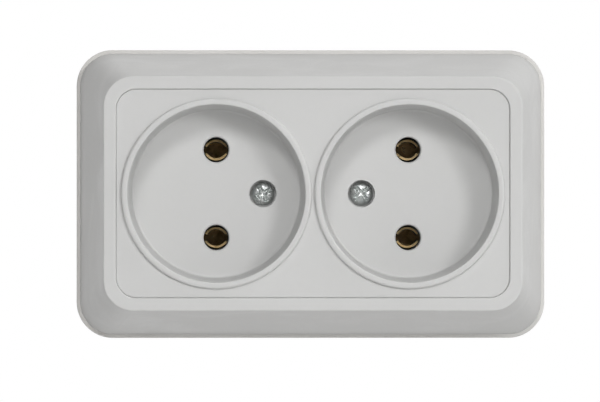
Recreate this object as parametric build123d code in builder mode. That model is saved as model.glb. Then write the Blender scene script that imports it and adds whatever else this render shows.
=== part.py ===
from build123d import *
import math
import os

os.makedirs("parts", exist_ok=True)

# Surface-mounted double socket, in millimetres. The wall is the plane Y = 0 and
# the socket faces -Y, with +X to the right and +Z up. The origin is the centre
# of the back face. A depth is a distance from the wall towards the front.

# Socket outlets
ring_gap = 0.5
pin_spacing = 19.0
pin_hole_radius = 2.75
pin_hole_chamfer = 0.25
pin_length = 19.0
pin_end_clearance = 0.8

# Base plate
base_corner_radius = 7.9
base_thickness = 2.6
base_edge_radius = 0.2
base_lip = 0.8

# Pockets moulded into the back of the base, with a cross of full thickness
back_rim = 3.0
back_pocket_depth = 0.8
back_pocket_radius = 3.0
back_bar_height = 14.0
back_bar_width = 19.0

# Cable entry and wall fixing slots
cable_entry_radius = 6.0
cable_entry_height = 21.0
cable_entry_chamfer = 0.5
wall_slot_spacing = 68.0
wall_slot_width = 4.4
wall_slot_length = 9.0
wall_slot_pad_margin = 2.6
wall_slot_pad_height = 0.8

# Surround
rim_side_band = 2.8
rim_top_band = 2.85
side_slope = 5.5
top_slope = 5.55
rim_corner_radius = 6.5
rim_edge_radius = 0.35
surround_wall = 2.0
surround_seat_gap = 0.05
ledge_thickness = 2.0
opening_edge_radius = 0.3
locating_rib_height = 3.0
locating_rib_thickness = 1.4
locating_rib_clearance = 0.25

# Front panel and its two cups
panel_side_margin = 0.95
panel_top_margin = 1.85
panel_corner_radius = 4.4
panel_thickness = 2.2
panel_edge_radius = 0.1
panel_gap = 0.05
panel_seat_gap = 0.05
panel_sink = 0.45
mouth_radius = 19.1
ring_width = 1.4
ring_height = 1.0
ring_outer_round = 0.6
ring_inner_round = 0.3
recess_depth = 12.0
recess_draft = 4.0
recess_floor_round = 0.6
cup_wall = 1.1
cup_floor = 2.0
cup_back_bevel = 1.2
cup_clearance = 0.35
pin_sleeve_wall = 1.3
pin_sleeve_length = 3.5

# Cover screws, M3, with the parts that hold them
cover_screw_offset = 10.1
cover_screw_radius = 1.5
cover_screw_length = 8.0
cover_screw_head_radius = 2.5
cover_screw_head_height = 1.9
cover_screw_head_bevel = 0.5
cover_screw_recess_length = 3.8
cover_screw_sink = 1.5
counterbore_radius = 2.95
screw_seat_thickness = 1.5
screw_boss_radius = 4.6
washer_radius = 2.9
washer_thickness = 0.6
washer_pocket_clearance = 0.3
washer_seat_gap = 0.15
washer_travel = 2.5
shank_hole_clearance = 0.2
thread_clearance = 0.06
insert_radius = 2.5
insert_length = 6.0
insert_fit_gap = 0.02
post_radius = 4.0
post_gap = 0.3

# Contact bars, one for each pole, folded from brass strip
strip_thickness = 0.6
strip_width = 6.0
strip_bend_radius = 0.9
contact_length = 7.0
contact_width = 6.6
leaf_thickness = 0.45
leaf_root_width = 5.2
leaf_root_radius = 30.0
leaf_root_height = 1.6
leaf_grip_width = 4.0
leaf_grip_gap = 3.3
leaf_grip_radius = 2.3
leaf_grip_height = 2.6
leaf_flare_height = 1.8
leaf_tip_gap = 3.6
leaf_tip_radius = 2.3
leaf_tip_clearance = 1.0
table_rise = 4.8
table_length = 20.4

# Steel springs round the contact leaves
spring_thickness = 0.5
spring_height = 2.4
spring_clearance = 0.08
spring_mouth_angle = 36.0

# Chambers and terminal beds moulded on the base
chamber_clearance = 0.4
chamber_wall = 1.3
chamber_height = 11.4
bed_clearance = 0.3
bed_wall = 1.2
bed_wall_height = 9.0

# Terminals, M3.5
terminal_spacing = 9.8
terminal_screw_radius = 1.75
terminal_screw_length = 6.0
terminal_head_radius = 3.0
terminal_head_height = 2.2
terminal_head_bevel = 0.8
terminal_recess_length = 3.8
collar_radius = 2.6
collar_length = 1.4
collar_clearance = 0.3
saddle_width = 7.6
saddle_depth = 7.0
saddle_thickness = 0.8
saddle_lip = 0.6
saddle_bend_radius = 0.7
saddle_bore_clearance = 0.15
saddle_seat_gap = 0.05

# Shared screw details
screw_tip_chamfer = 0.35
recess_arm_width = 1.1
recess_arm_depth = 1.2
recess_taper = 6.0

# Depths that follow from the sizes above
strip_top = base_thickness + strip_thickness
floor_depth = strip_top + pin_end_clearance + pin_length
ring_top = floor_depth + recess_depth
panel_face = ring_top - ring_height
panel_back = panel_face - panel_thickness
rim_face = panel_face + panel_sink
ledge_face = panel_back - panel_seat_gap
ledge_back = ledge_face - ledge_thickness
surround_foot = base_thickness + surround_seat_gap
cup_back = floor_depth - cup_floor
sleeve_back = cup_back - pin_sleeve_length
screw_seat = floor_depth - cover_screw_sink - cover_screw_head_height
washer_stop = screw_seat - screw_seat_thickness
washer_front = washer_stop - washer_travel - washer_seat_gap
washer_back = washer_front - washer_thickness
boss_back = washer_back - washer_seat_gap
post_top = boss_back - post_gap
leaf_top = sleeve_back - leaf_tip_clearance
table_top = strip_top + table_rise
table_back = table_top - strip_thickness
saddle_back = table_top + saddle_seat_gap
saddle_front = saddle_back + saddle_lip + saddle_thickness

# Sizes across the front that follow, from the cups outwards
ring_radius = mouth_radius + ring_width
socket_pitch = 2 * ring_radius + ring_gap
cover_screw_spacing = socket_pitch - 2 * cover_screw_offset
panel_width = socket_pitch + 2 * (ring_radius + panel_side_margin)
panel_height = 2 * (ring_radius + panel_top_margin)
rim_width = panel_width + 2 * rim_side_band
rim_height = panel_height + 2 * rim_top_band
foot_width = rim_width + 2 * side_slope
foot_height = rim_height + 2 * top_slope
base_width = foot_width + 2 * base_lip
base_height = foot_height + 2 * base_lip
foot_corner_radius = base_corner_radius - base_lip
cup_outer_radius = mouth_radius + cup_wall
ledge_opening_width = socket_pitch + 2 * (cup_outer_radius + cup_clearance)
ledge_opening_height = 2 * (cup_outer_radius + cup_clearance)
contact_height = pin_spacing / 2


def front_plane(depth, x=0.0, z=0.0):
    """Plane parallel to the wall at a depth, facing the front: local x is +X, local y is +Z."""
    return Plane(origin=(x, -depth, z), x_dir=(1, 0, 0), z_dir=(0, -1, 0))


def back_plane(depth):
    """Plane parallel to the wall at a depth, facing the wall: local x is -X, local y is +Z."""
    return Plane(origin=(0, -depth, 0), x_dir=(-1, 0, 0), z_dir=(0, 1, 0))


def section_plane(x, z):
    """Plane square to Z through a point: local x is +X, local y is the depth."""
    return Plane(origin=(x, 0, z), x_dir=(1, 0, 0), z_dir=(0, 0, -1))


def front_axis(x, z):
    """Axis through a point of the wall, pointing to the front."""
    return Axis((x, 0, z), (0, -1, 0))


def finish(part, label):
    """Labels a finished piece and writes it."""
    part.label = label
    export_step(part, f"parts/{label}.step")


def corner(sketch, across, up):
    """Corner of a sketch that lies nearest to a point in the sketch's own plane."""
    return sketch.vertices().sort_by_distance((across, up, 0))[0]


def surround_outline(depth):
    """Width, height and corner radius of the surround's sloped outside at a depth."""
    share = (depth - surround_foot) / (rim_face - surround_foot)
    width = foot_width + (rim_width - foot_width) * share
    height = foot_height + (rim_height - foot_height) * share
    radius = foot_corner_radius + (rim_corner_radius - foot_corner_radius) * share
    return width, height, radius


def cavity_outline(depth, inset=0.0):
    """Outline of the surround's inside at a depth, set in by a further inset."""
    width, height, radius = surround_outline(depth)
    step = surround_wall + inset
    return width - 2 * step, height - 2 * step, radius - step


# Base: plate, locating rib, screw posts, contact chambers and terminal beds
rib_width, rib_height, rib_radius = cavity_outline(
    base_thickness + locating_rib_height, locating_rib_clearance
)
pocket_width = (base_width - back_bar_width) / 2 - back_rim
pocket_height = (base_height - back_bar_height) / 2 - back_rim
chamber_inner_length = contact_length + 2 * chamber_clearance
chamber_inner_width = contact_width + 2 * chamber_clearance
chamber_outer_length = chamber_inner_length + 2 * chamber_wall
chamber_outer_width = chamber_inner_width + 2 * chamber_wall
bed_length = table_length - 2 * strip_bend_radius - strip_thickness
bed_wall_offset = saddle_depth / 2 + bed_clearance + bed_wall / 2
with BuildPart() as base:
    with BuildSketch(front_plane(0)):
        RectangleRounded(base_width, base_height, base_corner_radius)
    extrude(amount=base_thickness)
    fillet(base.faces().sort_by(Axis.Y)[0].edges(), base_edge_radius)
    with BuildSketch(front_plane(0, 0, cable_entry_height)):
        Circle(cable_entry_radius)
    extrude(amount=base_thickness, mode=Mode.SUBTRACT)
    entry_edges = base.edges().filter_by(GeomType.CIRCLE).filter_by(
        lambda edge: math.isclose(edge.radius, cable_entry_radius, abs_tol=1e-6)
    )
    chamfer(entry_edges, cable_entry_chamfer)

    with BuildSketch(front_plane(0)):
        with GridLocations(pocket_width + back_bar_width, pocket_height + back_bar_height, 2, 2):
            RectangleRounded(pocket_width, pocket_height, back_pocket_radius)
    extrude(amount=back_pocket_depth, mode=Mode.SUBTRACT)

    with BuildSketch(front_plane(base_thickness)):
        RectangleRounded(rib_width, rib_height, rib_radius)
        offset(amount=-locating_rib_thickness, mode=Mode.SUBTRACT)
    extrude(amount=locating_rib_height)

    with BuildSketch(front_plane(base_thickness)):
        with GridLocations(cover_screw_spacing, 0, 2, 1):
            Circle(post_radius)
    extrude(amount=post_top - base_thickness)

    with BuildSketch(front_plane(base_thickness)):
        for side in (-1, 1):
            with Locations((side * socket_pitch / 2, contact_height), (side * socket_pitch / 2, -contact_height)):
                Rectangle(chamber_outer_length, chamber_outer_width)
                Rectangle(chamber_inner_length, chamber_inner_width, mode=Mode.SUBTRACT)
            with Locations(
                (side * (socket_pitch - chamber_outer_length) / 2, contact_height),
                (side * (socket_pitch - chamber_outer_length) / 2, -contact_height),
            ):
                Rectangle(2 * chamber_wall, chamber_inner_width, mode=Mode.SUBTRACT)
    extrude(amount=chamber_height)

    with BuildSketch(front_plane(base_thickness)):
        with GridLocations(0, pin_spacing, 1, 2):
            Rectangle(bed_length, strip_width)
    extrude(amount=table_back - base_thickness)
    with BuildSketch(front_plane(base_thickness)):
        with GridLocations(0, pin_spacing - 2 * bed_wall_offset, 1, 2):
            Rectangle(bed_length, bed_wall)
    extrude(amount=bed_wall_height)
    with Locations(front_plane(table_back)):
        with GridLocations(terminal_spacing, pin_spacing, 2, 2):
            Hole(collar_radius + collar_clearance, table_back - base_thickness)

    with BuildSketch(front_plane(base_thickness)):
        with GridLocations(wall_slot_spacing, 0, 2, 1):
            SlotOverall(
                wall_slot_length + 2 * wall_slot_pad_margin, wall_slot_width + 2 * wall_slot_pad_margin
            )
    extrude(amount=wall_slot_pad_height)
    with BuildSketch(front_plane(0)):
        with GridLocations(wall_slot_spacing, 0, 2, 1):
            SlotOverall(wall_slot_length, wall_slot_width)
    extrude(amount=base_thickness + wall_slot_pad_height, mode=Mode.SUBTRACT)

    with Locations(front_plane(post_top)):
        with GridLocations(cover_screw_spacing, 0, 2, 1):
            Hole(insert_radius + insert_fit_gap, insert_length)
finish(base.part, "base")

# Surround: sloped housing with a flat rim, a rebate for the panel and a ledge behind it
with BuildPart() as surround:
    for depth in (surround_foot, rim_face):
        with BuildSketch(front_plane(depth)):
            RectangleRounded(*surround_outline(depth))
    loft(ruled=True)
    fillet(surround.faces().sort_by(Axis.Y)[0].edges(), rim_edge_radius)
    for depth in (surround_foot, ledge_back):
        with BuildSketch(front_plane(depth)):
            RectangleRounded(*cavity_outline(depth))
    loft(ruled=True, mode=Mode.SUBTRACT)
    with BuildSketch(front_plane(ledge_back)):
        RectangleRounded(ledge_opening_width, ledge_opening_height, panel_corner_radius)
    extrude(amount=rim_face - ledge_back, mode=Mode.SUBTRACT)
    with BuildSketch(front_plane(ledge_face)):
        RectangleRounded(
            panel_width + 2 * panel_gap, panel_height + 2 * panel_gap, panel_corner_radius + panel_gap
        )
    extrude(amount=rim_face - ledge_face, mode=Mode.SUBTRACT)
    fillet(surround.faces().sort_by(Axis.Y)[0].inner_wires()[0].edges(), opening_edge_radius)
finish(surround.part, "surround")

# Front panel: plate with two cups, each with a raised ring, pin sleeves and a screw boss
draft_slope = math.tan(math.radians(recess_draft))
floor_radius = mouth_radius - recess_depth * draft_slope
cup_back_radius = cup_outer_radius - (panel_back - cup_back) * draft_slope
cup_hole_radius = (mouth_radius + cup_outer_radius) / 2
with BuildPart() as front_panel:
    with BuildSketch(front_plane(panel_back)):
        RectangleRounded(panel_width, panel_height, panel_corner_radius)
    extrude(amount=panel_thickness)
    fillet(front_panel.faces().sort_by(Axis.Y)[0].edges(), panel_edge_radius)
    with BuildSketch(front_plane(panel_back)):
        with GridLocations(socket_pitch, 0, 2, 1):
            Circle(cup_hole_radius)
    extrude(amount=panel_thickness, mode=Mode.SUBTRACT)

    for side in (-1, 1):
        socket_x = side * socket_pitch / 2
        with BuildSketch(section_plane(socket_x, 0)) as cup_profile:
            with BuildLine():
                Polyline(
                    (0, floor_depth),
                    (floor_radius, floor_depth),
                    (mouth_radius, ring_top),
                    (ring_radius, ring_top),
                    (ring_radius, panel_face),
                    (cup_outer_radius, panel_face),
                    (cup_outer_radius, panel_back),
                    (cup_back_radius, cup_back),
                    (0, cup_back),
                    close=True,
                )
            make_face()
            fillet(corner(cup_profile, floor_radius, floor_depth), recess_floor_round)
            fillet(corner(cup_profile, mouth_radius, ring_top), ring_inner_round)
            fillet(corner(cup_profile, ring_radius, ring_top), ring_outer_round)
            chamfer(corner(cup_profile, cup_back_radius, cup_back), cup_back_bevel)
        revolve(axis=front_axis(socket_x, 0))

    with BuildSketch(front_plane(sleeve_back)):
        with GridLocations(socket_pitch, pin_spacing, 2, 2):
            Circle(pin_hole_radius + pin_sleeve_wall)
    extrude(amount=cup_back - sleeve_back)
    with BuildSketch(front_plane(boss_back)):
        with GridLocations(cover_screw_spacing, 0, 2, 1):
            Circle(screw_boss_radius)
    extrude(amount=cup_back - boss_back)

    with Locations(front_plane(floor_depth)):
        with GridLocations(socket_pitch, pin_spacing, 2, 2):
            Hole(pin_hole_radius, floor_depth - sleeve_back)
        with GridLocations(cover_screw_spacing, 0, 2, 1):
            CounterBoreHole(
                cover_screw_radius + shank_hole_clearance,
                counterbore_radius,
                floor_depth - screw_seat,
                floor_depth - boss_back,
            )
    with Locations(back_plane(boss_back)):
        with GridLocations(cover_screw_spacing, 0, 2, 1):
            Hole(washer_radius + washer_pocket_clearance, washer_stop - boss_back)
    hole_mouths = front_panel.edges().filter_by(GeomType.CIRCLE).filter_by(
        lambda edge: math.isclose(edge.radius, pin_hole_radius, abs_tol=1e-6)
        and math.isclose(edge.arc_center.Y, -floor_depth, abs_tol=1e-6)
    )
    chamfer(hole_mouths, pin_hole_chamfer)
finish(front_panel.part, "front_panel")


def make_screw(label, x, z, seat, radius, length, head_radius, head_height, head_bevel, recess_length):
    """Pan head screw with a cross recess, its head seated at a depth."""
    tip = seat - length
    head_top = seat + head_height
    with BuildPart() as screw:
        with BuildSketch(section_plane(x, z)) as profile:
            with BuildLine():
                Polyline(
                    (0, tip),
                    (radius - screw_tip_chamfer, tip),
                    (radius, tip + screw_tip_chamfer),
                    (radius, seat),
                    (head_radius, seat),
                    (head_radius, head_top),
                    (0, head_top),
                    close=True,
                )
            make_face()
            chamfer(corner(profile, head_radius, head_top), head_bevel)
        revolve(axis=front_axis(x, z))
        with BuildSketch(front_plane(head_top, x, z)):
            Rectangle(recess_length, recess_arm_width)
            Rectangle(recess_arm_width, recess_length)
        extrude(amount=-recess_arm_depth, taper=recess_taper, mode=Mode.SUBTRACT)
    finish(screw.part, label)


# Cover screws with their captive washers, and the threaded inserts that they enter
for side, place in ((-1, "left"), (1, "right")):
    screw_x = side * cover_screw_spacing / 2
    make_screw(
        f"cover_screw_{place}",
        screw_x,
        0,
        screw_seat,
        cover_screw_radius,
        cover_screw_length,
        cover_screw_head_radius,
        cover_screw_head_height,
        cover_screw_head_bevel,
        cover_screw_recess_length,
    )

    with BuildPart() as washer:
        with BuildSketch(front_plane(washer_back, screw_x)):
            Circle(washer_radius)
            Circle(cover_screw_radius + thread_clearance, mode=Mode.SUBTRACT)
        extrude(amount=washer_thickness)
    finish(washer.part, f"retaining_washer_{place}")

    with BuildPart() as insert:
        with BuildSketch(front_plane(post_top - insert_length, screw_x)):
            Circle(insert_radius)
            Circle(cover_screw_radius + thread_clearance, mode=Mode.SUBTRACT)
        extrude(amount=insert_length)
    finish(insert.part, f"threaded_insert_{place}")


def leaf_section(depth, x, z, side, half_gap, radius, width):
    """Curved strip across a contact leaf, hollow towards the pin, above it (1) or below it (-1)."""
    half_angle = math.degrees(math.asin(width / 2 / radius))
    centre = (0, half_gap - radius)
    with BuildSketch(Plane(origin=(x, -depth, z), x_dir=(side, 0, 0), z_dir=(0, -1, 0))) as section:
        with BuildLine():
            inner = CenterArc(centre, radius, 90 - half_angle, 2 * half_angle)
            outer = CenterArc(centre, radius + leaf_thickness, 90 - half_angle, 2 * half_angle)
            Line(inner @ 0, outer @ 0)
            Line(inner @ 1, outer @ 1)
        make_face()
    return section.sketch


# Depths of the stations along a contact leaf, and its gap, radius and width at each
leaf_root_gap = contact_width - 2 * leaf_thickness
grip_front = leaf_top - leaf_flare_height
grip_back = grip_front - leaf_grip_height
leaf_stations = (
    (base_thickness, leaf_root_gap, leaf_root_radius, leaf_root_width),
    (base_thickness + leaf_root_height, leaf_root_gap, leaf_root_radius, leaf_root_width),
    (grip_back, leaf_grip_gap, leaf_grip_radius, leaf_grip_width),
    (grip_front, leaf_grip_gap, leaf_grip_radius, leaf_grip_width),
    (leaf_top, leaf_tip_gap, leaf_tip_radius, leaf_grip_width),
)


# Contact bars: a strip with two pairs of leaves and a raised table for the terminals
bar_end = (socket_pitch + contact_length) / 2
table_end = (table_length - strip_thickness) / 2
strip_middle = base_thickness + strip_thickness / 2
table_middle = table_top - strip_thickness / 2
for side, place in ((1, "upper"), (-1, "lower")):
    pin_z = side * contact_height
    with BuildPart() as bar:
        with BuildSketch(section_plane(0, pin_z)):
            with BuildLine():
                FilletPolyline(
                    (-bar_end, strip_middle),
                    (-table_end, strip_middle),
                    (-table_end, table_middle),
                    (table_end, table_middle),
                    (table_end, strip_middle),
                    (bar_end, strip_middle),
                    radius=strip_bend_radius,
                )
            trace(line_width=strip_thickness)
        extrude(amount=strip_width / 2, both=True)
        with BuildSketch(front_plane(base_thickness, 0, pin_z)):
            with GridLocations(socket_pitch, 0, 2, 1):
                Rectangle(contact_length, contact_width)
        extrude(amount=strip_thickness)
        for socket_x in (-socket_pitch / 2, socket_pitch / 2):
            for leaf_side in (1, -1):
                sections = [
                    leaf_section(depth, socket_x, pin_z, leaf_side, gap / 2, radius, width)
                    for depth, gap, radius, width in leaf_stations
                ]
                loft(sections, ruled=True)
        with BuildSketch(front_plane(table_back, 0, pin_z)):
            with GridLocations(terminal_spacing, 0, 2, 1):
                Circle(collar_radius)
        extrude(amount=-collar_length)
        with Locations(front_plane(table_top, 0, pin_z)):
            with GridLocations(terminal_spacing, 0, 2, 1):
                Hole(terminal_screw_radius + thread_clearance, strip_thickness + collar_length)
    finish(bar.part, f"{place}_contact_bar")


# Spring rings that press each pair of leaves together, open towards the ends of the socket
grip_half_angle = math.asin(leaf_grip_width / 2 / leaf_grip_radius)
leaf_outer_radius = leaf_grip_radius + leaf_thickness
leaf_corner_x = leaf_outer_radius * math.sin(grip_half_angle)
leaf_corner_z = leaf_grip_gap / 2 - leaf_grip_radius + leaf_outer_radius * math.cos(grip_half_angle)
spring_radius = math.hypot(leaf_corner_x, leaf_corner_z) + spring_clearance + spring_thickness / 2
spring_back = (grip_front + grip_back - spring_height) / 2
for up, row in ((1, "upper"), (-1, "lower")):
    for side, place in ((-1, "left"), (1, "right")):
        mouth_middle = 90 - 90 * side
        with BuildPart() as spring:
            with BuildSketch(front_plane(spring_back, side * socket_pitch / 2, up * contact_height)):
                with BuildLine():
                    CenterArc(
                        (0, 0), spring_radius, mouth_middle + spring_mouth_angle / 2, 360 - spring_mouth_angle
                    )
                trace(line_width=spring_thickness)
            extrude(amount=spring_height)
        finish(spring.part, f"contact_spring_{row}_{place}")


# Terminals: on each end of a table, a clamp saddle under the head of a screw
saddle_lip_x = (saddle_width - saddle_thickness) / 2
saddle_middle = saddle_front - saddle_thickness / 2
for up, row in ((1, "upper"), (-1, "lower")):
    for side, place in ((-1, "left"), (1, "right")):
        terminal_x = side * terminal_spacing / 2
        terminal_z = up * contact_height
        with BuildPart() as saddle:
            with BuildSketch(section_plane(terminal_x, terminal_z)):
                with BuildLine():
                    FilletPolyline(
                        (-saddle_lip_x, saddle_back),
                        (-saddle_lip_x, saddle_middle),
                        (saddle_lip_x, saddle_middle),
                        (saddle_lip_x, saddle_back),
                        radius=saddle_bend_radius,
                    )
                trace(line_width=saddle_thickness)
            extrude(amount=saddle_depth / 2, both=True)
            with Locations(front_plane(saddle_front, terminal_x, terminal_z)):
                Hole(terminal_screw_radius + saddle_bore_clearance, saddle_thickness)
        finish(saddle.part, f"clamp_saddle_{row}_{place}")
        make_screw(
            f"terminal_screw_{row}_{place}",
            terminal_x,
            terminal_z,
            saddle_front,
            terminal_screw_radius,
            terminal_screw_length,
            terminal_head_radius,
            terminal_head_height,
            terminal_head_bevel,
            terminal_recess_length,
        )
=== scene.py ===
import math

import bmesh
import bpy
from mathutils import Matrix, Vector


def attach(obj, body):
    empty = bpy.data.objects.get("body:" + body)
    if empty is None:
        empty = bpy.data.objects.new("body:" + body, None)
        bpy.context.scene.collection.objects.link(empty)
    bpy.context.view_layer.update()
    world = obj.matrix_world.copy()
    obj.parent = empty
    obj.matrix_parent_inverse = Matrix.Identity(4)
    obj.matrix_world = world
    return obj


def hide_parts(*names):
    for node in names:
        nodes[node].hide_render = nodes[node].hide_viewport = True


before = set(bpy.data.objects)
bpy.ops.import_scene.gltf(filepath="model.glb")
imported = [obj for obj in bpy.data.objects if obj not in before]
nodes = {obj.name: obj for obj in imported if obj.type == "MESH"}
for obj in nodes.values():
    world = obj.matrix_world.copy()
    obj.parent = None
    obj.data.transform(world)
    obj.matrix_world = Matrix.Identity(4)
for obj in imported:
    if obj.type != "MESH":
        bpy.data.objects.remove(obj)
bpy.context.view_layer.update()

MM = 0.001
SIDES = (("left", -1), ("right", 1))
ROWS = (("upper", 1), ("lower", -1))


# Camera, placed like the photograph's, on a long lens and almost square to the front
CAMERA_AZIMUTH = math.radians(-0.986)
CAMERA_ELEVATION = math.radians(-0.215)
CAMERA_DISTANCE = 1.4196
CAMERA_LENS = 392.35
SENSOR_WIDTH = 36
AIM = Vector((0, -0.0175, 0))
IMAGE_WIDTH = 600
SHIFT_PIXELS = (-11.76, -7.23)

back = Vector((
    math.sin(CAMERA_AZIMUTH) * math.cos(CAMERA_ELEVATION),
    -math.cos(CAMERA_AZIMUTH) * math.cos(CAMERA_ELEVATION),
    math.sin(CAMERA_ELEVATION),
))
camera_data = bpy.data.cameras.new("camera")
camera_data.sensor_width = SENSOR_WIDTH
camera_data.lens = CAMERA_LENS
camera_data.shift_x = SHIFT_PIXELS[0] / IMAGE_WIDTH
camera_data.shift_y = SHIFT_PIXELS[1] / IMAGE_WIDTH
camera_data.clip_start = 0.01
camera_data.clip_end = 20
camera = bpy.data.objects.new("camera", camera_data)
camera.location = AIM + back * CAMERA_DISTANCE
camera.rotation_euler = back.to_track_quat("Z", "Y").to_euler()
bpy.context.scene.collection.objects.link(camera)
bpy.context.scene.camera = camera
bpy.context.scene.view_settings.view_transform = "Standard"


class Tree:
    """Short calls for building a node tree."""

    def __init__(self, owner):
        owner.use_nodes = True
        self.nodes = owner.node_tree.nodes
        self.links = owner.node_tree.links

    def add(self, kind, **settings):
        node = self.nodes.new(kind)
        for name, value in settings.items():
            setattr(node, name, value)
        return node

    def put(self, source, target):
        """Joins a socket to a socket, or writes a plain value on the target."""
        if isinstance(source, bpy.types.NodeSocket):
            self.links.new(source, target)
        else:
            target.default_value = source

    def place(self, kind="Object"):
        return self.add("ShaderNodeTexCoord").outputs[kind]

    def coordinates(self, stretch=(1, 1, 1), turn=(0, 0, 0)):
        """Object coordinates in metres, stretched and turned."""
        mapping = self.add("ShaderNodeMapping")
        mapping.inputs["Scale"].default_value = stretch
        mapping.inputs["Rotation"].default_value = turn
        self.put(self.place(), mapping.inputs["Vector"])
        return mapping.outputs["Vector"]

    def noise(self, where, scale, detail, roughness, distortion=0.0):
        node = self.add("ShaderNodeTexNoise")
        self.put(where, node.inputs["Vector"])
        node.inputs["Scale"].default_value = scale
        node.inputs["Detail"].default_value = detail
        node.inputs["Roughness"].default_value = roughness
        node.inputs["Distortion"].default_value = distortion
        return node.outputs["Fac"]

    def math(self, operation, a, b):
        node = self.add("ShaderNodeMath", operation=operation)
        self.put(a, node.inputs[0])
        self.put(b, node.inputs[1])
        return node.outputs[0]

    def ramp(self, value, span, gives=(0.0, 1.0)):
        """Smoothly maps a value in one span to the other one."""
        node = self.add("ShaderNodeMapRange", interpolation_type="SMOOTHSTEP")
        self.put(value, node.inputs["Value"])
        for name, number in zip(("From Min", "From Max", "To Min", "To Max"), (*span, *gives)):
            node.inputs[name].default_value = number
        return node.outputs["Result"]

    def mix(self, share, a, b):
        node = self.add("ShaderNodeMix", data_type="RGBA")
        self.put(share, node.inputs["Factor"])
        for colour, name in ((a, "A"), (b, "B")):
            socket = [s for s in node.inputs if s.name == name and s.type == "RGBA"][0]
            self.put(colour, socket)
        return [s for s in node.outputs if s.type == "RGBA"][0]

    def bump(self, height, strength, distance, under=None):
        node = self.add("ShaderNodeBump")
        node.inputs["Strength"].default_value = strength
        node.inputs["Distance"].default_value = distance
        self.put(height, node.inputs["Height"])
        if under is not None:
            self.put(under, node.inputs["Normal"])
        return node.outputs["Normal"]


def new_material(name):
    material = bpy.data.materials.new(name)
    tree = Tree(material)
    return material, tree, tree.nodes["Principled BSDF"]


def rgb(red, green, blue):
    return (red, green, blue, 1.0)


# Relief heights are in metres
MOULD_GRAIN = 0.00002
FINE_GRAIN = 0.00001
STREAK_RELIEF = 0.00001
PIT_RELIEF = 0.000008
PLASTIC_SPECULAR = 0.42
TARNISH = (0.45, 0.72)


def moulded_plastic(name, colour, shade, roughness, seed, grain=MOULD_GRAIN):
    """Moulded plastic: a fine spark-eroded grain, faint flow tone and a few rubbed spots."""
    material, tree, shader = new_material(name)
    where = tree.coordinates(turn=(seed, seed * 0.7, seed * 0.4))

    flow = tree.noise(where, scale=26, detail=2.0, roughness=0.5, distortion=0.4)
    speck = tree.noise(where, scale=900, detail=3.0, roughness=0.6)
    tone = tree.math("ADD", tree.math("MULTIPLY", flow, 0.7), tree.math("MULTIPLY", speck, 0.3))
    tint = tree.mix(tree.ramp(tone, (0.35, 0.65)), shade, colour)
    tree.put(tint, shader.inputs["Base Color"])

    rub = tree.noise(where, scale=60, detail=4.0, roughness=0.65, distortion=0.8)
    rubbed = tree.ramp(rub, (0.42, 0.7), (roughness + 0.04, roughness - 0.07))
    fine = tree.noise(where, scale=1800, detail=2.0, roughness=0.5)
    uneven = tree.ramp(fine, (0.3, 0.7), (-0.03, 0.03))
    tree.put(tree.math("ADD", rubbed, uneven), shader.inputs["Roughness"])
    shader.inputs["Specular IOR Level"].default_value = PLASTIC_SPECULAR

    sparks = tree.noise(where, scale=2600, detail=4.0, roughness=0.6)
    waves = tree.noise(where, scale=95, detail=1.0, roughness=0.4)
    grain_bump = tree.bump(sparks, strength=0.35, distance=grain)
    relief = tree.bump(waves, strength=0.12, distance=grain * 6, under=grain_bump)
    tree.put(relief, shader.inputs["Normal"])
    return material


def rolled_metal(name, bright, dull, roughness, scratch, seed, relief=1.0):
    """Rolled or turned metal: streaks along one way, dull patches and small pits."""
    material, tree, shader = new_material(name)
    shader.inputs["Metallic"].default_value = 1.0
    where = tree.coordinates(turn=(seed, 0.3 * seed, 0.8 * seed))
    along = tree.coordinates(stretch=scratch)

    patches = tree.noise(where, scale=420, detail=5.0, roughness=0.6, distortion=0.5)
    tree.put(tree.mix(tree.ramp(patches, TARNISH), bright, dull), shader.inputs["Base Color"])

    streaks = tree.noise(along, scale=1500, detail=3.0, roughness=0.6)
    patchy = tree.ramp(patches, (0.35, 0.7), (roughness - 0.06, roughness + 0.14))
    streaked = tree.ramp(streaks, (0.3, 0.7), (-0.05, 0.06))
    tree.put(tree.math("ADD", patchy, streaked), shader.inputs["Roughness"])

    pits = tree.noise(where, scale=3200, detail=2.0, roughness=0.5)
    streak_bump = tree.bump(streaks, strength=0.25 * relief, distance=STREAK_RELIEF)
    pitted = tree.bump(pits, strength=0.2 * relief, distance=PIT_RELIEF, under=streak_bump)
    tree.put(pitted, shader.inputs["Normal"])
    return material


# Painted shade on the leaves deep in the pin holes grows over the first span of Y behind their
# tips and clears over the second one before the bar, in mm
DARK_BEHIND_TIP = (-16.48, -16.2)
CLEAR_BEFORE_BAR = (-9.4, -8.4)


def paint_leaf_shade(material, colour):
    """Paints shade on the sprung leaves deep in the pin holes, from the bar up to their bare tips.
    """
    tree = Tree(material)
    shader = tree.nodes["Principled BSDF"]
    split = tree.add("ShaderNodeSeparateXYZ")
    tree.put(tree.place(), split.inputs["Vector"])
    y = split.outputs["Y"]
    behind_tip = tree.ramp(y, [edge * MM for edge in DARK_BEHIND_TIP])
    before_bar = tree.ramp(y, [edge * MM for edge in CLEAR_BEFORE_BAR], (1.0, 0.0))
    unshaded = shader.inputs["Base Color"].links[0].from_socket
    painted_shade = tree.math("MULTIPLY", behind_tip, before_bar)
    tree.put(tree.mix(painted_shade, unshaded, colour), shader.inputs["Base Color"])


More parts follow.
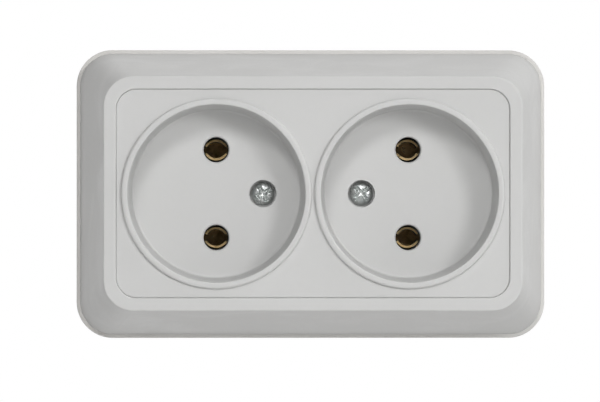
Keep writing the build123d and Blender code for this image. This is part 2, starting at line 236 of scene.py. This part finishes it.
housing = moulded_plastic(
    "housing_plastic", rgb(0.580, 0.580, 0.574), rgb(0.568, 0.569, 0.562), 0.42, seed=0.3)
base_plastic = moulded_plastic(
    "base_plastic", rgb(0.640, 0.630, 0.610), rgb(0.618, 0.607, 0.584), 0.46, seed=1.1)
nylon = moulded_plastic(
    "washer_nylon", rgb(0.62, 0.59, 0.51), rgb(0.56, 0.53, 0.45), 0.38, seed=2.2, grain=FINE_GRAIN)
nylon_shader = nylon.node_tree.nodes["Principled BSDF"]
nylon_shader.inputs["Subsurface Weight"].default_value = 0.25
nylon_shader.inputs["Subsurface Scale"].default_value = 0.0006

brass = rolled_metal(
    "contact_brass", rgb(0.80, 0.60, 0.32), rgb(0.50, 0.34, 0.15), 0.36,
    scratch=(1, 9, 1), seed=0.5)
# Near-black painted shade on the contact leaves deep inside the pin holes
paint_leaf_shade(brass, rgb(0.10, 0.065, 0.03))
insert_brass = rolled_metal(
    "insert_brass", rgb(0.80, 0.58, 0.25), rgb(0.52, 0.35, 0.14), 0.26,
    scratch=(1, 1, 8), seed=1.9)
spring_steel = rolled_metal(
    "spring_steel", rgb(0.33, 0.34, 0.37), rgb(0.16, 0.15, 0.16), 0.33,
    scratch=(1, 12, 1), seed=2.6)
zinc = rolled_metal(
    "bright_zinc", rgb(0.66, 0.68, 0.67), rgb(0.50, 0.52, 0.52), 0.30,
    scratch=(6, 1, 1), seed=0.9, relief=0.35)
saddle_zinc = rolled_metal(
    "saddle_zinc", rgb(0.74, 0.76, 0.78), rgb(0.52, 0.54, 0.55), 0.28,
    scratch=(1, 1, 10), seed=1.5)


def dress(node, material):
    """Gives a kept CAD node its material."""
    mesh = nodes[node].data
    mesh.materials.clear()
    mesh.materials.append(material)


dress("base", base_plastic)
dress("surround", housing)
dress("front_panel", housing)
for row, _ in ROWS:
    dress(f"{row}_contact_bar", brass)
    for side, _ in SIDES:
        dress(f"contact_spring_{row}_{side}", spring_steel)
        dress(f"clamp_saddle_{row}_{side}", saddle_zinc)
for side, _ in SIDES:
    dress(f"retaining_washer_{side}", nylon)
    dress(f"threaded_insert_{side}", insert_brass)


# Detailed screws: turned thread, domed pan head and cross recess. Lengths are in mm.
RING_POINTS = 160

# Thread: it grows out of the bevelled tip and dies away before the plain neck under the head
THREAD_RINGS_PER_TURN = 8
THREAD_DEPTH_PER_PITCH = 0.61
FLANK_GAIN = 1.35
ROOT_FLAT = 0.12
CREST_POWER = 0.9
TIP_RUN = 0.5
TIP_BEVEL = 0.12
TIP_SHARE = 0.82
NECK_RUN = 0.3
NECK = 0.35
NECK_MIDDLE = 0.6
NECK_FILLET = 0.06

# Head: a bevelled seat, a short straight side and a dome whose outline is a superellipse
SEAT_BEVEL = ((0.12, 0), (0.03, 0.04))
HEAD_POWER = 2.5
SIDE_SHARE = 0.36
TOP_SHARE = 0.8
SHOULDER_RINGS = 12
TOP_RING_STEP = 0.036
SHARP_EDGE = math.radians(38)

# Cross recess: slopes of its walls, how far its edges round off, and the marks between its arms
ARM_WALL_SLOPE = 3.0
ARM_END_SLOPE = 2.0
CORE_SLOPE = 2.6
CORE_WIDTH = 1.75
FLOOR_RISE = 0.18
WALL_ROUND = 0.25
CROSSING_ROUND = 0.08
CORE_ROUND = 0.1
MARK_REACH = 1.18
MARK_SLOPE = 2.2
MARK_WIDTH = 0.2
MARK_DEPTH = 0.09


def soft_min(a, b, reach):
    """The smaller of two numbers, rounded off where they are within reach of each other."""
    near = max(reach - abs(a - b), 0) / reach
    return min(a, b) - near * near * reach / 4


def soft_max(a, b, reach):
    return -soft_min(-a, -b, reach)


def cross_depth(x, y, half_width, arm, deepest):
    """Depth of the cross recess at a point of the head, with four small marks between its arms."""
    reach = math.hypot(x, y)
    bottom = deepest * (1 - FLOOR_RISE * reach / arm)
    depth = 0.0
    for along, across in ((abs(x), abs(y)), (abs(y), abs(x))):
        wall = soft_min(
            ARM_WALL_SLOPE * (half_width - across), ARM_END_SLOPE * (arm - along), WALL_ROUND)
        depth = soft_max(depth, soft_min(wall, bottom, WALL_ROUND), CROSSING_ROUND)
    core = CORE_SLOPE * (CORE_WIDTH * half_width - reach)
    depth = soft_max(depth, soft_min(core, bottom, WALL_ROUND), CORE_ROUND)
    diagonal = abs(abs(x) - abs(y)) / math.sqrt(2)
    if reach < MARK_REACH * arm:
        mark = MARK_SLOPE * (MARK_WIDTH * half_width - diagonal)
        depth = max(depth, min(mark, MARK_DEPTH))
    return depth


def thread_radius(turn, height, pitch, root, crest):
    """Radius of a right-hand thread with flat crests and rounded roots."""
    phase = (height / pitch - turn / (2 * math.pi)) % 1.0
    flank = abs(2 * phase - 1)
    rise = min(1.0, max(0.0, FLANK_GAIN * flank - ROOT_FLAT)) ** CREST_POWER
    return root + (crest - root) * rise


def make_screw(name, x, z, seat, radius, length, head_radius, head_height, pitch, recess, turned):
    """Screw on an axis square to the wall. Heights run from the seat towards the front."""
    mesh = bpy.data.meshes.new(name)
    work = bmesh.new()
    circle = [2 * math.pi * i / RING_POINTS for i in range(RING_POINTS)]
    rings = []

    def point(turn, r, height):
        return work.verts.new((
            (x + r * math.cos(turn)) * MM, -(seat + height) * MM, (z + r * math.sin(turn)) * MM))

    def add_ring(shape):
        """Adds a ring of points. The shape gives radius and height at each turn."""
        rings.append([point(turn, *shape(turn)) for turn in circle])

    def round_ring(r, height):
        add_ring(lambda turn: (r, height))

    root = radius - THREAD_DEPTH_PER_PITCH * pitch
    thread_rings = round((length - NECK) / pitch * THREAD_RINGS_PER_TURN)
    round_ring(root * TIP_SHARE, -length)
    for i in range(thread_rings + 1):
        height = -length + TIP_BEVEL + (length - NECK - TIP_BEVEL) * i / thread_rings
        grown = min(1.0, (height + length) / TIP_RUN)
        grown *= min(1.0, max(0.0, (-NECK - height) / NECK_RUN))
        crest = root + (radius - root) * grown
        add_ring(lambda turn: (thread_radius(turn, height, pitch, root, crest), height))
    round_ring(root, -NECK * NECK_MIDDLE)
    round_ring(root + NECK_FILLET, 0)
    for inset, height in SEAT_BEVEL:
        round_ring(head_radius - inset, height)

    side_top = SIDE_SHARE * head_height
    top_start = TOP_SHARE * head_radius

    def dome(r):
        rise = (1 - (r / head_radius) ** HEAD_POWER) ** (1 / HEAD_POWER)
        return side_top + (head_height - side_top) * rise

    power = 2 / HEAD_POWER
    limit = math.asin((top_start / head_radius) ** (1 / power))
    for i in range(SHOULDER_RINGS + 1):
        bend = math.pi / 2 + (limit - math.pi / 2) * i / SHOULDER_RINGS
        r = head_radius * math.sin(bend) ** power
        round_ring(r, dome(r))

    def cut_top(r, turn):
        x_turned, y_turned = r * math.cos(turn - turned), r * math.sin(turn - turned)
        return r, dome(r) - cross_depth(x_turned, y_turned, *recess)

    steps = int(top_start / TOP_RING_STEP)
    for i in range(1, steps):
        r = top_start * (1 - i / steps)
        add_ring(lambda turn: cut_top(r, turn))

    def fill_disc(ring, height):
        centre = point(0, 0, height)
        for i in range(RING_POINTS):
            work.faces.new((ring[i], ring[(i + 1) % RING_POINTS], centre))

    for low, high in zip(rings, rings[1:]):
        for i in range(RING_POINTS):
            j = (i + 1) % RING_POINTS
            work.faces.new((low[i], low[j], high[j], high[i]))
    deepest = recess[2]
    fill_disc(rings[0], -length)
    fill_disc(rings[-1], dome(0) - deepest)
    bmesh.ops.recalc_face_normals(work, faces=work.faces)
    for face in work.faces:
        face.smooth = True
    for edge in work.edges:
        edge.smooth = edge.calc_face_angle(0) < SHARP_EDGE
    work.to_mesh(mesh)
    work.free()
    mesh.materials.append(zinc)
    screw = bpy.data.objects.new(name, mesh)
    bpy.context.scene.collection.objects.link(screw)
    return screw


COVER_SCREW = dict(
    seat=19.6, radius=1.5, length=8.0, head_radius=2.5, head_height=1.9, pitch=0.5)
TERMINAL_SCREW = dict(
    seat=9.45, radius=1.75, length=6.0, head_radius=3.0, head_height=2.2, pitch=0.6)
COVER_X = 10.65
TERMINAL_X = 4.9
TERMINAL_Z = 9.5

# Recess of each kind of screw: half width of an arm, reach of an arm, depth
COVER_RECESS = (0.55, 1.95, 1.25)
TERMINAL_RECESS = (0.5, 1.95, 1.35)

# How far each screw's recess is turned, in radians
COVER_TURNS = {"left": math.radians(28), "right": math.radians(38)}
TERMINAL_TURNS = {"upper_left": 0.2, "upper_right": 1.1, "lower_left": 0.75, "lower_right": 1.35}

for side, sign in SIDES:
    screw = make_screw(
        f"cover_screw_{side}_turned", sign * COVER_X, 0,
        recess=COVER_RECESS, turned=COVER_TURNS[side], **COVER_SCREW)
    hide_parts(f"cover_screw_{side}")
    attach(screw, f"cover_screw_body_{side}")
for row, up in ROWS:
    for side, sign in SIDES:
        place = f"{row}_{side}"
        screw = make_screw(
            f"terminal_screw_{place}_turned", sign * TERMINAL_X, up * TERMINAL_Z,
            recess=TERMINAL_RECESS, turned=TERMINAL_TURNS[place], **TERMINAL_SCREW)
        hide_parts(f"terminal_screw_{place}")
        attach(screw, f"terminal_screw_body_{place}")


# Floor: a pale disc well below the socket that fades into the white background
FLOOR_HEIGHT = -0.13
FLOOR_RADIUS = 0.6
FLOOR_SEGMENTS = 96
FLOOR_GREY = 0.82
FLOOR_ROUGHNESS = 0.85
FADE_DISTANCE = (0.16, 0.5)
FADE_SHARE = (0.55, 1.0)

floor_mesh = bpy.data.meshes.new("floor")
floor_work = bmesh.new()
bmesh.ops.create_circle(floor_work, cap_ends=True, segments=FLOOR_SEGMENTS, radius=FLOOR_RADIUS)
floor_work.to_mesh(floor_mesh)
floor_work.free()
floor = bpy.data.objects.new("floor", floor_mesh)
floor.location = (0, 0, FLOOR_HEIGHT)
bpy.context.scene.collection.objects.link(floor)

floor_material, tree, shader = new_material("pale_floor")
shader.inputs["Base Color"].default_value = rgb(FLOOR_GREY, FLOOR_GREY, FLOOR_GREY)
shader.inputs["Roughness"].default_value = FLOOR_ROUGHNESS
distance = tree.add("ShaderNodeVectorMath", operation="LENGTH")
tree.put(tree.place(), distance.inputs[0])
fade = tree.ramp(distance.outputs["Value"], FADE_DISTANCE, FADE_SHARE)
path = tree.add("ShaderNodeLightPath")
bounced = tree.math("MAXIMUM", path.outputs["Is Glossy Ray"], path.outputs["Is Transmission Ray"])
seen = tree.math("MAXIMUM", path.outputs["Is Camera Ray"], bounced)
white = tree.add("ShaderNodeEmission")
blend = tree.add("ShaderNodeMixShader")
tree.put(tree.math("MULTIPLY", seen, fade), blend.inputs[0])
tree.put(shader.outputs["BSDF"], blend.inputs[1])
tree.put(white.outputs["Emission"], blend.inputs[2])
tree.put(blend.outputs["Shader"], tree.nodes["Material Output"].inputs["Surface"])
floor_mesh.materials.append(floor_material)


# World: white to the eye. Its soft light on the object comes from the side of the wall, +Y.
# Metal mirrors the white background, with a dim room straight in front of the socket.
WHITE = rgb(1, 1, 1)
ROOM_FRONT = rgb(0.02, 0.02, 0.02)
ROOM_BACK = rgb(0.54, 0.53, 0.515)
DIM_ROOM = rgb(0.012, 0.012, 0.012)
ROOM_SPAN = (-0.25, 0.35)
DIM_ROOM_SPAN = (-0.975, -0.62)

world = bpy.data.worlds.new("studio")
bpy.context.scene.world = world
tree = Tree(world)
heading = tree.add("ShaderNodeSeparateXYZ")
tree.put(tree.place("Generated"), heading.inputs["Vector"])
depth_way = heading.outputs["Y"]
room = tree.mix(tree.ramp(depth_way, ROOM_SPAN), ROOM_FRONT, ROOM_BACK)
mirrored = tree.mix(tree.ramp(depth_way, DIM_ROOM_SPAN), DIM_ROOM, WHITE)
path = tree.add("ShaderNodeLightPath")
seen = tree.math("MAXIMUM", path.outputs["Is Camera Ray"], path.outputs["Is Transmission Ray"])
around = tree.mix(path.outputs["Is Glossy Ray"], room, mirrored)
tree.put(tree.mix(seen, around, WHITE), tree.nodes["Background"].inputs["Color"])


# Square lamps: heading clockwise from straight up as seen from the front and tilt away from
# straight ahead, in degrees, then distance and size in metres, and the level of the light
LEVEL_WATTS = 9.875
LAMPS = {
    "top_light": (-15, 27, 1.3, 0.26, 0.26),
    "right_light": (67, 31, 1.3, 0.30, 0.29),
    "side_light": (45, 80, 1.2, 0.40, 0.25),
    "front_light": (0, 4, 1.5, 0.60, 0.16),
    "upper_light": (20, 40, 1.3, 1.00, 0.10),
    "back_light": (0, 178, 1.3, 0.60, 0.30),
}
NOT_MIRRORED = ("front_light", "back_light")

for name, (clock, tilt, distance, size, level) in LAMPS.items():
    turn, lean = math.radians(clock), math.radians(tilt)
    way = Vector((
        math.sin(lean) * math.sin(turn), -math.cos(lean), math.sin(lean) * math.cos(turn)))
    lamp = bpy.data.lights.new(name, "AREA")
    lamp.size = size
    lamp.energy = LEVEL_WATTS * level * distance ** 2
    holder = bpy.data.objects.new(name, lamp)
    holder.location = AIM + way * distance
    holder.rotation_euler = way.to_track_quat("Z", "Y").to_euler()
    holder.visible_camera = False
    holder.visible_glossy = name not in NOT_MIRRORED
    bpy.context.scene.collection.objects.link(holder)
